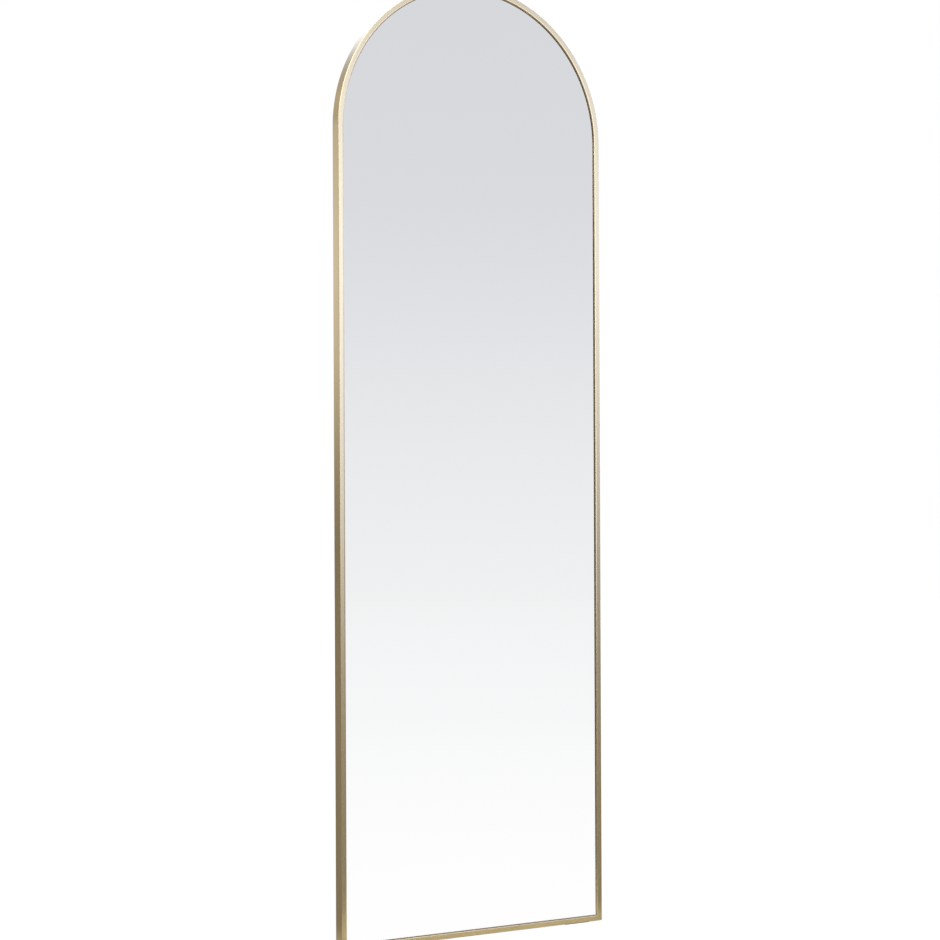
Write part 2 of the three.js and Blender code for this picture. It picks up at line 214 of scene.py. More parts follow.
def blend_colours(tree, factor, first, second):
    """Two colours mixed by a factor."""
    mix = put(tree, "ShaderNodeMix", data_type="RGBA")
    for socket, value in (("Factor_Float", factor), ("A_Color", first), ("B_Color", second)):
        target = next(s for s in mix.inputs if s.identifier == socket)
        if isinstance(value, bpy.types.NodeSocket):
            tree.links.new(value, target)
        else:
            target.default_value = (*value, 1) if target.type == "RGBA" and len(value) == 3 else value
    return next(s for s in mix.outputs if s.identifier == "Result_Color")


def calculate(tree, operation, first, second=0.0, third=0.0):
    """One step of arithmetic."""
    step = put(tree, "ShaderNodeMath", {0: first, 1: second, 2: third}, operation=operation)
    return step.outputs["Value"]


def vector_step(tree, operation, *sources):
    """One step of arithmetic with vectors, as a node."""
    return put(tree, "ShaderNodeVectorMath", enumerate(sources), operation=operation)


def bump(tree, height, depth, strength):
    """A normal from a height between 0 and 1 that stands for a depth in metres."""
    sources = {"Height": height, "Distance": depth, "Strength": strength}
    return put(tree, "ShaderNodeBump", sources).outputs["Normal"]


def shade(colour_value, factor):
    """A colour made lighter or darker, as three numbers."""
    return tuple(min(1.0, c * factor) for c in colour_value)


def new_material(name, **constants):
    """A material, its tree and its main shader, with constant sockets set by name."""
    material = bpy.data.materials.new(name)
    material.use_nodes = True
    tree = material.node_tree
    shader = tree.nodes["Principled BSDF"]
    for key, value in constants.items():
        shader.inputs[key.replace("_", " ")].default_value = value
    return material, tree, shader


def feed(tree, shader, **outputs):
    """Links outputs to the shader's sockets of those names."""
    for key, value in outputs.items():
        tree.links.new(value, shader.inputs[key.replace("_", " ")])


def satin_gold():
    """Anodised aluminium, brushed along its length: fine lines in gloss and height, broad ones in tone."""
    settings = bpy.context.scene.mirror_frame
    material, tree, shader = new_material(
        "satin gold", Metallic=1.0, Anisotropic=0.35, Coat_Weight=1.0, Coat_Roughness=0.15
    )
    base = tuple(settings.gold)
    lines = grain(tree, scaled(tree, "UV", (9, 2600, 1)), 1.0, 3.0)
    streaks = grain(tree, scaled(tree, "UV", (1.3, 420, 1)), 1.0, 3.0)
    cloud = speckle(tree, 6, 2.0)
    tone = calculate(tree, "MULTIPLY_ADD", streaks, 0.7, calculate(tree, "MULTIPLY", cloud, 0.3))
    share = remap(tree, tone, 0.35, 0.65, 0, 1)
    colours = blend_colours(tree, share, shade(base, 0.95), shade(base, 1.04))
    gloss = remap(tree, lines, 0.3, 0.7, settings.satin - 0.02, settings.satin + 0.02)
    tangent = put(tree, "ShaderNodeTangent", direction_type="UV_MAP", uv_map="along").outputs["Tangent"]
    normal = bump(tree, lines, 0.01 * MM, 0.12)
    feed(tree, shader, Base_Color=colours, Roughness=gloss, Normal=normal, Tangent=tangent)
    return material


def silvered_glass():
    """A flawless reflecting front. The ground edge is green glass and the rear is grey mirror paint."""
    settings = bpy.context.scene.mirror_glazing
    material, tree, shader = new_material("silvered glass", Roughness=0.0)
    place = put(tree, "ShaderNodeTexCoord").outputs["Object"]
    depth = put(tree, "ShaderNodeSeparateXYZ", {"Vector": place}).outputs["Y"]
    front = GLASS_LOW[1] + 0.1 * MM
    behind = remap(tree, depth, front, front + 0.05 * MM, 0, 1)
    paint = remap(tree, depth, GLASS_HIGH[1] - 0.15 * MM, GLASS_HIGH[1] - 0.1 * MM, 0, 1)
    mottle = speckle(tree, 3, 2.0)
    pure = blend_colours(tree, mottle, shade(settings.silver, 0.996), tuple(settings.silver))
    grey = blend_colours(tree, grain(tree, place, 900.0, 3.0), (0.20, 0.21, 0.22), (0.26, 0.27, 0.28))
    edge = blend_colours(tree, paint, (0.16, 0.33, 0.27), grey)
    metal = calculate(tree, "SUBTRACT", 1.0, behind)
    gloss = calculate(tree, "MULTIPLY", behind, 0.5)
    colours = blend_colours(tree, behind, pure, edge)
    feed(tree, shader, Base_Color=colours, Metallic=metal, Roughness=gloss)
    return material


def plated_steel():
    """Bright zinc or nickel plating with fine tumbling marks and a faint cloudy haze."""
    settings = bpy.context.scene.mirror_back
    material, tree, shader = new_material("plated steel", Metallic=1.0)
    base = tuple(settings.steel)
    haze = speckle(tree, 260, 5.0)
    marks = speckle(tree, 2600, 2.0)
    colours = blend_colours(tree, remap(tree, haze, 0.3, 0.7, 0, 1), shade(base, 0.86), shade(base, 1.1))
    gloss = remap(tree, haze, 0.3, 0.7, 0.24, 0.38)
    feed(tree, shader, Base_Color=colours, Roughness=gloss, Normal=bump(tree, marks, 0.02 * MM, 0.4))
    return material


def cast_zinc():
    """Dull die-cast zinc with a grainy skin."""
    material, tree, shader = new_material("cast zinc", Metallic=0.9)
    skin = speckle(tree, 900, 5.0, 0.65)
    colours = blend_colours(tree, remap(tree, skin, 0.3, 0.7, 0, 1), (0.27, 0.28, 0.29), (0.45, 0.46, 0.47))
    gloss = remap(tree, skin, 0.3, 0.7, 0.42, 0.62)
    feed(tree, shader, Base_Color=colours, Roughness=gloss, Normal=bump(tree, skin, 0.1 * MM, 0.5))
    return material


def hardboard():
    """Stained pressed wood fibre: hair-fine fibres matted in three directions, flecks and a waxy skin."""
    settings = bpy.context.scene.mirror_back
    material, tree, shader = new_material("hardboard")
    base = tuple(settings.board)
    place = put(tree, "ShaderNodeTexCoord").outputs["Object"]
    fibres = 0.0
    for turn in (12, 71, 134):
        sources = {"Vector": place, "Rotation": (0, math.radians(turn), 0), "Scale": FIBRE}
        laid = put(tree, "ShaderNodeMapping", sources, vector_type="TEXTURE").outputs["Vector"]
        fibres = calculate(tree, "MAXIMUM", fibres, grain(tree, laid, 1.0, 4.0, 0.6, 1.6))
    mats = speckle(tree, 9, 3.0)
    flecks = speckle(tree, 420, 2.0, 0.7)
    body = blend_colours(tree, remap(tree, fibres, 0.48, 0.76, 0, 1), shade(base, 0.72), shade(base, 1.4))
    cloudy = blend_colours(tree, remap(tree, mats, 0.3, 0.7, 0, 0.35), body, shade(base, 0.7))
    dotted = blend_colours(tree, remap(tree, flecks, 0.66, 0.74, 0, 0.75), cloudy, shade(base, 0.35))
    gloss = remap(tree, fibres, 0.45, 0.75, 0.62, 0.48)
    feed(tree, shader, Base_Color=dotted, Roughness=gloss, Normal=bump(tree, fibres, 0.06 * MM, 0.5))
    return material


def moulded_rubber():
    """Black rubber with a fine spark-eroded grain and a little dust in it."""
    settings = bpy.context.scene.mirror_back
    material, tree, shader = new_material("moulded rubber")
    base = tuple(settings.rubber)
    pits = speckle(tree, 1500, 3.0, 0.6)
    dust = speckle(tree, 120, 4.0, 0.6)
    dusty = blend_colours(tree, remap(tree, dust, 0.45, 0.75, 0, 0.3), base, shade(base, 4.5))
    gloss = remap(tree, pits, 0.3, 0.7, 0.62, 0.85)
    feed(tree, shader, Base_Color=dusty, Roughness=gloss, Normal=bump(tree, pits, 0.12 * MM, 0.6))
    return material


def cell_foam():
    """Black closed-cell foam, with round cells about a third of a millimetre across."""
    settings = bpy.context.scene.mirror_glazing
    material, tree, shader = new_material("cell foam", Roughness=0.95)
    base = tuple(settings.foam)
    vector = scaled(tree, "Object", (3200, 3200, 3200))
    cells = put(tree, "ShaderNodeTexVoronoi", {"Vector": vector, "Scale": 1.0}).outputs["Distance"]
    colours = blend_colours(tree, remap(tree, cells, 0.1, 0.6, 0, 1), shade(base, 0.5), shade(base, 1.6))
    feed(tree, shader, Base_Color=colours, Normal=bump(tree, cells, 0.1 * MM, 0.8))
    return material


def kraft_card():
    """Brown corrugated card: flutes that show as faint ridges, and recycled fibre specks."""
    material, tree, shader = new_material("kraft card", Roughness=0.9)
    place = put(tree, "ShaderNodeTexCoord").outputs["Object"]
    sources = {"Vector": place, "Scale": 22.0, "Distortion": 0.2}
    flutes = put(tree, "ShaderNodeTexWave", sources, bands_direction="Z").outputs["Fac"]
    specks = grain(tree, place, 700.0, 3.0, 0.7)
    body = blend_colours(tree, flutes, (0.31, 0.19, 0.09), (0.37, 0.23, 0.12))
    dotted = blend_colours(tree, remap(tree, specks, 0.6, 0.72, 0, 0.7), body, (0.16, 0.09, 0.04))
    feed(tree, shader, Base_Color=dotted, Normal=bump(tree, flutes, 0.3 * MM, 0.4))
    return material


def woven_film():
    """Pale blue safety film with the faint crossing ribs of its reinforcing threads."""
    material, tree, shader = new_material("woven film")
    place = put(tree, "ShaderNodeTexCoord").outputs["Object"]
    heights = []
    for direction in ("X", "Z"):
        sources = {"Vector": place, "Scale": 120.0}
        heights.append(put(tree, "ShaderNodeTexWave", sources, bands_direction=direction).outputs["Fac"])
    weave = calculate(tree, "MAXIMUM", *heights)
    colours = blend_colours(tree, weave, (0.25, 0.35, 0.46), (0.34, 0.45, 0.56))
    gloss = remap(tree, weave, 0, 1, 0.5, 0.35)
    feed(tree, shader, Base_Color=colours, Roughness=gloss, Normal=bump(tree, weave, 0.05 * MM, 0.4))
    return material


MATERIALS = {}


def material_of(maker):
    """The material that a maker function gives, made once."""
    if maker.__name__ not in MATERIALS:
        MATERIALS[maker.__name__] = maker()
    return MATERIALS[maker.__name__]


def paint_node(node, maker):
    """Gives a carried-over CAD node its material."""
    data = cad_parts[node].data
    data.materials.clear()
    data.materials.append(material_of(maker))


# ---------------------------------------------------------------------------------------------------
# Surfaces as whole arrays


def arc(centre, radius, start, end, steps):
    """Points centre + radius (cos a, sin a) for angles a in degrees from start to end."""
    angles = np.radians(np.linspace(start, end, steps + 1))
    return np.array(centre) + radius * np.stack([np.cos(angles), np.sin(angles)], axis=1)


FLAT_FROM = 1.25  # where a flat starts beside a rounded corner, as a multiple of the corner's reach


def rounded(corners, steps=6):
    """A closed section from corners (s, d, radius). A corner with a radius becomes an arc that touches both
    sides, with one more point on each side beyond it, so that the flats shade flat."""
    corners = [np.array(c, dtype=float) for c in corners]
    points = []
    for before, here, after in zip([corners[-1], *corners[:-1]], corners, [*corners[1:], corners[0]]):
        if here[2] == 0:
            points.append(here[:2])
            continue
        to_before = (before - here)[:2] / np.linalg.norm((before - here)[:2])
        to_after = (after - here)[:2] / np.linalg.norm((after - here)[:2])
        half = math.acos(np.clip(to_before @ to_after, -1, 1)) / 2
        reach = here[2] / math.tan(half)
        halfway = (to_before + to_after) / np.linalg.norm(to_before + to_after)
        middle = here[:2] + halfway * here[2] / math.sin(half)
        first, last = here[:2] + to_before * reach - middle, here[:2] + to_after * reach - middle
        start = math.degrees(math.atan2(first[1], first[0]))
        turn = math.degrees(math.atan2(last[1], last[0])) - start
        turn = (turn + 180) % 360 - 180
        points.append(here[:2] + to_before * reach * FLAT_FROM)
        points.extend(arc(middle, here[2], start, start + turn, steps))
        points.append(here[:2] + to_after * reach * FLAT_FROM)
    return np.array(points)


def new_piece(name, vertices, faces, corner_uvs, maker, sharp=40):
    """A mesh piece from an array of places, a list of faces and one UV pair for each face corner."""
    mesh = bpy.data.meshes.new(name)
    mesh.from_pydata(vertices.tolist(), [], faces)
    layer = mesh.uv_layers.new(name="along")
    layer.data.foreach_set("uv", np.asarray(corner_uvs, dtype=np.float32).ravel())
    mesh.polygons.foreach_set("use_smooth", np.ones(len(mesh.polygons), dtype=bool))
    mesh.set_sharp_from_angle(angle=math.radians(sharp))
    mesh.materials.append(material_of(maker))
    mesh.validate()
    mesh.update()
    piece = bpy.data.objects.new(name, mesh)
    bpy.context.scene.collection.objects.link(piece)
    return piece


def flat_end(loops):
    """Triangles that fill the first loop outside the second, which is a convex hole. They run
    anticlockwise, and every point of a loop is a corner of one, so that a flat end meets the sides."""
    section = np.concatenate(loops) / MM
    first, edges = 0, []
    for loop in loops:
        ring = np.arange(len(loop))
        edges += np.stack([first + ring, first + (ring + 1) % len(loop)], axis=-1).tolist()
        first += len(loop)
    filled = delaunay_2d_cdt([Vector(p) for p in section], edges, [], 1, 1e-6)
    source = np.array([places[0] for places in filled[3]])
    triangles = source[np.array(filled[2])]
    triangles = triangles[(triangles < len(loops[0])).any(axis=1)]
    sides = section[triangles[:, 1:]] - section[triangles[:, :1]]
    clockwise = np.cross(sides[:, 0], sides[:, 1]) < 0
    return np.where(clockwise[:, None], triangles[:, ::-1], triangles)


def carry(loops, origins, inward, backward, closed=False):
    """Section loops carried from station to station: the place of section point (s, d) at a station is
    origin + s times its inward vector + d times its backward vector, for all stations and points at once.
    An open path is closed by flat ends. Returns places, faces and corner UVs, where U runs along the path
    and V round the section."""
    section = np.concatenate(loops)
    stations, count = len(origins), len(section)
    places = (
        origins[:, None, :]
        + section[None, :, 0, None] * inward[:, None, :]
        + section[None, :, 1, None] * backward[:, None, :]
    )
    middle = places.mean(axis=1)
    steps = np.diff(np.concatenate([middle, middle[:1]]), axis=0)
    run = np.concatenate([[0.0], np.cumsum(np.linalg.norm(steps, axis=1))])
    near = np.arange(stations if closed else stations - 1)[:, None]
    far = (near + 1) % stations
    quads, uvs, first = [], [], 0
    for loop in loops:
        size = len(loop)
        a = first + np.arange(size)
        b = first + (np.arange(size) + 1) % size
        corners = [near * count + a, near * count + b, far * count + b, far * count + a]
        quads.append(np.stack(corners, axis=-1))
        sides = np.linalg.norm(np.roll(loop, -1, axis=0) - loop, axis=1)
        around = np.concatenate([[0.0], np.cumsum(sides)])
        low, high = np.broadcast_arrays(around[None, :-1], run[near])
        top = np.broadcast_to(around[None, 1:], low.shape)
        end = np.broadcast_to(run[near + 1], low.shape)
        uvs.append(np.stack([high, low, high, top, end, top, end, low], axis=-1))
        first += size
    faces = np.concatenate([q.reshape(-1, 4) for q in quads]).tolist()
    corner_uvs = np.concatenate([u.reshape(-1, 2) for u in uvs])
    if not closed:
        triangles = flat_end(loops)
        faces += triangles[:, ::-1].tolist() + (triangles + (stations - 1) * count).tolist()
        end_uvs = section[np.concatenate([triangles[:, ::-1], triangles]).ravel()]
        corner_uvs = np.concatenate([corner_uvs, end_uvs])
    return places.reshape(-1, 3), faces, corner_uvs


def backward_vectors(count):
    """One vector towards the wall for each of a number of stations."""
    return np.tile([0.0, 1.0, 0.0], (count, 1))


def stacked(rings):
    """A solid from rings of places, one behind the other, with a flat face at each end. Returns places,
    faces and the place of each face corner."""
    rows, count = rings.shape[:2]
    a = np.arange(count)
    b = (a + 1) % count
    low = np.arange(rows - 1)[:, None] * count
    high = low + count
    faces = np.stack([low + a, low + b, high + b, high + a], axis=-1).reshape(-1, 4).tolist()
    faces += [a[::-1].tolist(), (a + (rows - 1) * count).tolist()]
    places = rings.reshape(-1, 3)
    return places, faces, places[np.concatenate([np.array(face) for face in faces])]


def turned(profile, sides, place):
    """A closed profile of (radius, height) turned round the axis +Y through a place: each point goes to
    place + (-radius sin a, height, -radius cos a). Returns places, faces and corner UVs."""
    angles = 2 * np.pi * np.arange(sides) / sides
    radius, height = profile[:, :1], np.tile(profile[:, 1:], sides)
    rings = np.stack([-radius * np.sin(angles), height, -radius * np.cos(angles)], axis=-1)
    return round_faces(place + rings)


def round_faces(rings, tips=None):
    """Faces round rings of places. The rings close on themselves, or else end in two single points."""
    count, sides = rings.shape[:2]
    low = np.arange(count - 1 if tips else count)[:, None] * sides
    high = (low + sides) % (count * sides)
    a, b = np.arange(sides), (np.arange(sides) + 1) % sides
    quads = np.stack([low + a, low + b, high + b, high + a], axis=-1).reshape(-1, 4).tolist()
    places = rings.reshape(-1, 3)
    uvs = np.tile([0.0, 0.0, 1.0, 0.0, 1.0, 1.0, 0.0, 1.0], len(quads)).reshape(-1, 2)
    if not tips:
        return places, quads, uvs
    places = np.concatenate([places, tips])
    first, last, rim = count * sides, count * sides + 1, (count - 1) * sides
    fans = np.concatenate([
        np.stack([b, a, np.full(sides, first)], axis=-1),
        np.stack([rim + a, rim + b, np.full(sides, last)], axis=-1),
    ])
    fan_uvs = np.tile([0.0, 0.0, 1.0, 0.0, 0.5, 1.0], len(fans)).reshape(-1, 2)
    return places, quads + fans.tolist(), np.concatenate([uvs, fan_uvs])


def settle(piece, node, body=FIXED):
    """Hides the CAD node that a new piece stands for, and puts the piece on the node's body."""
    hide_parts(node)
    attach(piece, body)
    return piece


# ---------------------------------------------------------------------------------------------------
# The arched outline


def outline_path(half, spring, bottom, steps):
    """The frame's path as stations: up the left side, round the arch and down the right side. Each has a
    place on the outline and the vector that moves a point inward by one unit, which at the two lower
    corners runs along their 45 degree mitre."""
    angles = np.linspace(np.pi, 0, steps + 1)
    ring = np.stack([np.cos(angles), np.zeros(steps + 1), np.sin(angles)], axis=1)
    arch = ring * half + [0, 0, spring]
    places = np.concatenate([[[-half, 0, bottom]], arch, [[half, 0, bottom]]])
    inward = np.concatenate([[[1.0, 0, 1.0]], -ring, [[-1.0, 0, 1.0]]])
    return places, inward


def frame_numbers():
    """The frame's half width, the height where its arch starts, the rail's underside and its front."""
    settings = bpy.context.scene.mirror_frame
    half = settings.width / 2
    bottom = RAIL_LOW[2]
    return half, bottom + settings.height - half, bottom, BOW_LOW[1]


def extrusion_section():
    """Outer loop and key chamber of the extrusion, in metres: s runs inward and d back from the front."""
    settings = bpy.context.scene.mirror_frame
    wall, lip, face, depth = settings.wall, settings.lip, settings.face, settings.depth
    back = BOARD_LOW[1] - BOW_LOW[1] - BOARD_GAP
    floor = back - GROOVE_DEPTH
    outer = rounded([
        (0, depth, SMALL_EDGE), (0, 0, settings.edge_radius),
        (face - settings.slope_width, 0, SLOPE_START), (face, settings.slope_fall, settings.lip_radius),
        (face, lip, SMALL_EDGE), (RIB_WIDTH, lip, 0), (RIB_WIDTH, back, SMALL_EDGE),
        (GROOVE_FAR, back, SMALL_EDGE), (GROOVE_FAR, floor, 0),
        (GROOVE_NEAR, floor, 0), (GROOVE_NEAR, back, SMALL_EDGE),
        (wall, back, 0), (wall, depth, SMALL_EDGE),
    ])
    inside, end = RIB_WIDTH - wall, floor - wall
    chamber = rounded([(wall, wall, 0), (wall, end, 0), (inside, end, 0), (inside, wall, 0)])
    return [outer, chamber]


class MIRROR_OT_frame(bpy.types.Operator):
    """Carries the extrusion's section up the stiles and round the arch, and along the bottom rail"""

    bl_idname = "floor_mirror.frame"
    bl_label = "Bow and bottom rail"

    def execute(self, context):
        settings = context.scene.mirror_frame
        half, spring, bottom, front = frame_numbers()
        section = extrusion_section()
        origins, inward = outline_path(half, spring, bottom + settings.mitre_gap / 2, settings.arch_steps)
        origins[:, 1] = front
        bow = new_piece("bow", *carry(section, origins, inward, backward_vectors(len(origins))), satin_gold)
        settle(bow, "frame_bow")
        reach = half - settings.mitre_gap / 2
        origins = np.array([[reach, front, bottom], [-reach, front, bottom]])
        inward = np.array([[-1.0, 0, 1.0], [1.0, 0, 1.0]])
        rail = new_piece("rail", *carry(section, origins, inward, backward_vectors(2)), satin_gold)
        settle(rail, "bottom_rail")
        for side in ("left", "right"):
            paint_node(f"corner_key_{side}", cast_zinc)
        return {"FINISHED"}


class MIRROR_OT_glazing(bpy.types.Operator):
    """Lays the mirror glass on its bedding tape, with film, card and setting blocks round it"""

    bl_idname = "floor_mirror.glazing"
    bl_label = "Mirror glass and bedding"

    def execute(self, context):
        settings = context.scene.mirror_glazing
        steps = context.scene.mirror_frame.arch_steps
        half = GLASS_HIGH[0]
        bottom = GLASS_LOW[2]
        spring = GLASS_HIGH[2] - half
        thickness = GLASS_HIGH[1] - GLASS_LOW[1]
        arris = settings.arris
        section = np.array([[arris, 0], [0, arris], [0, thickness - arris], [arris, thickness]])
        places, inward = outline_path(half, spring, bottom, steps)
        places[:, 1] = GLASS_LOW[1]
        edge = places[:, None, :] + section[None, :, 0, None] * inward[:, None, :]
        edge = edge + section[None, :, 1, None] * np.array([0.0, 1.0, 0.0])
        vertices, faces, corners = stacked(edge.transpose(1, 0, 2))
        pane = new_piece("mirror_pane", vertices, faces, corners[:, [0, 2]], silvered_glass, 20)
        settle(pane, "mirror_glass")

        width = TAPE_HIGH[0]
        depth = TAPE_HIGH[1] - TAPE_LOW[1]
        corners = [(0, 0), (TAPE_WIDTH, 0), (TAPE_WIDTH, depth), (0, depth)]
        section = rounded([(*corner, depth * TAPE_EDGE) for corner in corners], 3)
        places, inward = outline_path(width, TAPE_HIGH[2] - width, TAPE_LOW[2], steps)
        places[:, 1] = TAPE_LOW[1]
        strip = carry([section], places, inward, backward_vectors(len(places)), True)
        settle(new_piece("tape", *strip, cell_foam), "bedding_tape")

        paint_node("safety_film", woven_film)
        paint_node("card_sheet", kraft_card)
        for side in ("left", "right"):
            paint_node(f"setting_block_{side}", moulded_rubber)
        return {"FINISHED"}


class MIRROR_OT_backing_board(bpy.types.Operator):
    """Gives the drilled backing board its hardboard finish"""

    bl_idname = "floor_mirror.backing_board"
    bl_label = "Backing board"

    def execute(self, context):
        paint_node("backing_board", hardboard)
        return {"FINISHED"}


def screw_shape(place, shank, length_below, head, height, pitch, turn):
    """A pan-head screw on the axis +Y, as rings of places. Up the shank the radius is that of a pointed
    rod times 1 + 0.22 of a triangle wave of height / pitch less the angle. The head is a rounded edge and
    a dome, height (0.35 + 0.65 sqrt(1 - 0.97 r^2)). The dome ends at a cross-shaped recess, whose outline
    at an angle is the greater of its two bars' reaches there, min(long / |cos|, short / |sin|) and the
    other way round."""
    angles = 2 * np.pi * np.arange(SCREW_SIDES) / SCREW_SIDES
    rise = np.linspace(0, 1, int(length_below / pitch * 6) + 2)[:, None]
    below = length_below * (rise - 1)
    thread = below / pitch - angles / (2 * np.pi)
    ridge = 0.5 - 2 * np.abs(thread - np.floor(thread) - 0.5)
    threaded = (rise > 0) & (rise < 1)
    tip = np.clip(rise * length_below / (shank * 1.6), 0.15, 1)
    shank_radius = shank * 0.9 * tip * (1 + 0.22 * ridge * threaded)
    edge = arc((head - height * 0.35, height * 0.35), height * 0.35, -60, 0, 3)

    long = head * 0.56
    short = long * math.tan(math.radians(15))
    cosine, sine = np.abs(np.cos(angles)) + 1e-9, np.abs(np.sin(angles)) + 1e-9
    across = np.minimum(long / cosine, short / sine)
    upright = np.minimum(long / sine, short / cosine)
    outline = np.maximum(across, upright)
    inward = np.linspace(0, 1, 7)[1:, None]
    dome_radius = head + (outline * 1.06 - head) * inward
    dome = height * (0.35 + 0.65 * np.sqrt(1 - 0.97 * (dome_radius / head) ** 2))
    slope = np.array([1.0, 0.82, 0.55, 0.28])[:, None]
    floor = np.array([0.0, 0.5, 0.55, 0.6])[:, None]
    recess = height * (0.95 - floor)
    flat_radius, flat_level = np.hsplit(edge, 2)
    radius = np.concatenate([shank_radius, np.tile(flat_radius, SCREW_SIDES), dome_radius, outline * slope])
    level = [np.tile(flat, SCREW_SIDES) for flat in (below, flat_level, recess)]
    level = np.concatenate([*level[:2], dome, level[2]])
    rings = np.stack([radius * np.sin(angles + turn), level, radius * np.cos(angles + turn)], axis=-1)
    start = place + [0, -length_below - shank * 0.3, 0]
    end = place + [0, height * 0.33, 0]
    return round_faces(place + rings, [start, end])


# The shank's radius as a share of the head's, the thread's pitch and the head's height.
SCREW_FAMILIES = {
    "board_screw": (0.42, 1.2 * MM, 1.6 * MM),
    "hanger_screw": (0.5, 1.4 * MM, 1.6 * MM),
    "bumper_screw": (0.46, 1.5 * MM, 2.0 * MM),
}


class MIRROR_OT_screws(bpy.types.Operator):
    """Turns every screw of the back, with its thread and the cross in its pan head"""

    bl_idname = "floor_mirror.screws"
    bl_label = "Screws"

    def execute(self, context):
        for number, node in enumerate(sorted(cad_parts)):
            family = "_".join(node.split("_")[:2])
            if family not in SCREW_FAMILIES:
                continue
            low, high = span(node)
            head = (high[0] - low[0]) / 2
            shank_ratio, pitch, height = SCREW_FAMILIES[family]
            below = high[1] - low[1] - height
            middle = (low + high) / 2
            place = np.array([middle[0], high[1] - height, middle[2]])
            shape = screw_shape(place, head * shank_ratio, below * 0.97, head, height, pitch, number * 2.4)
            settle(new_piece("pan_" + node, *shape, plated_steel), node)
        return {"FINISHED"}


class MIRROR_OT_hangers(bpy.types.Operator):
    """Rolls the strap hangers' eyes and bends the two rings that swing in them"""

    bl_idname = "floor_mirror.hangers"
    bl_label = "Strap hangers and rings"

    def execute(self, context):
        for side in ("left", "right"):
            self.roll_strap(side)
            self.bend_ring(context, side)
        return {"FINISHED"}

    def roll_strap(self, side):
        """A flat section carried up the plate and round the eye. The place at run t is the middle line's,
        moved by s across and d outward. Near the lower end the half width is that of a circle."""
        node = f"hanger_strap_{side}"
        low, high = span(node)
        half = (high[0] - low[0]) / 2
        outer = (high[1] - low[1]) / 2
        hinge = high[2] - outer
        bottom = low[2]
        lines = [np.linspace(bottom, bottom + half, 25), np.linspace(bottom + half, hinge, 6)[1:]]
        plate_z = np.concatenate(lines)
        drop = np.clip((bottom + half - plate_z) / half, 0, 1)
        plate_half = half * np.sqrt(np.clip(1 - drop**2, 0.0009, 1))
        angles = np.radians(np.linspace(-90, 200, 73))[1:]
        eye_out = np.stack([np.cos(angles), np.sin(angles)], axis=1)
        origins = np.zeros((len(plate_z) + len(angles), 3))
        outward = np.zeros_like(origins)
        origins[:, 0] = (low[0] + high[0]) / 2
        origins[: len(plate_z), 1] = low[1]
        origins[: len(plate_z), 2] = plate_z
        outward[: len(plate_z), 1] = 1
        origins[len(plate_z):, 1] = low[1] + outer + outer * eye_out[:, 1]
        origins[len(plate_z):, 2] = hinge + outer * eye_out[:, 0]
        outward[len(plate_z):, 1] = -eye_out[:, 1]
        outward[len(plate_z):, 2] = -eye_out[:, 0]
        across = np.zeros_like(origins)
        across[:, 0] = np.concatenate([plate_half, np.full(len(angles), half)]) / half
        corners = [(-half, 0), (half, 0), (half, STRAP_THICKNESS), (-half, STRAP_THICKNESS)]
        section = rounded([(*corner, STRAP_EDGE) for corner in corners], 3)
        shape = carry([section], origins, across, outward)
        settle(new_piece(f"strap_{side}", *shape, plated_steel), node)

    def bend_ring(self, context, side):
        """A round wire, s cos a and sin a, carried along a D: its bar, two small corners and a half circle.
        The D lies in the XZ plane, and each station's inward vector is square to the line there."""
        node = f"hanger_ring_{side}"
        low, high = span(node)
        wire = (high[1] - low[1]) / 2
        middle = (low + high) / 2
        reach = (high[0] - low[0]) / 2 - wire
        corner = RING_CORNER
        top = high[2] - wire
        flat = reach - corner
        bar = np.stack([np.linspace(flat, -flat, 9), np.zeros(9)], axis=1)[1:-1]
        left = arc((-flat, -corner), corner, 90, 180, 10)
        bow = arc((0, -corner), reach, 180, 360, 64)[1:-1]
        right = arc((flat, -corner), corner, 0, 90, 10)
        line = np.concatenate([bar, left, bow, right])
        ahead = np.roll(line, -1, axis=0) - np.roll(line, 1, axis=0)
        ahead /= np.linalg.norm(ahead, axis=1)[:, None]
        level = np.full(len(line), middle[1])
        origins = np.stack([middle[0] + line[:, 0], level, top + line[:, 1]], axis=1)
        inward = np.stack([-ahead[:, 1], np.zeros(len(line)), ahead[:, 0]], axis=1)
        sides = context.scene.mirror_back.wire_sides
        section = arc((0, 0), wire, 360, 0, sides)[:-1]
        shape = carry([section], origins, inward, backward_vectors(len(line)), True)
        settle(new_piece(f"ring_{side}_wire", *shape, plated_steel), node, f"ring_{side}")


class MIRROR_OT_bumpers(bpy.types.Operator):
    """Turns the four tapered rubber wall bumpers with their screw wells"""

    bl_idname = "floor_mirror.bumpers"
    bl_label = "Wall bumpers"

    def execute(self, context):
        sides = context.scene.mirror_back.turn_sides
        for place in ("lower_left", "lower_right", "upper_left", "upper_right"):
            node = f"bumper_{place}"
            low, high = span(node)
            base = (high[0] - low[0]) / 2
            tall = high[1] - low[1]
            taper, bore, well, well_depth = 1.5 * MM, 2.2 * MM, 4.6 * MM, 5 * MM
            profile = rounded([
                (bore, 0, 0), (base, 0, 0.4 * MM), (base - taper, tall, 1.5 * MM), (well, tall, 0.5 * MM),
                (well, tall - well_depth, 0.3 * MM), (bore, tall - well_depth, 0),
            ])
            middle = (low + high) / 2
            foot = np.array([middle[0], low[1], middle[2]])
            shape = turned(profile, sides, foot)
            settle(new_piece(f"buffer_{place}", *shape, moulded_rubber), node)
        return {"FINISHED"}


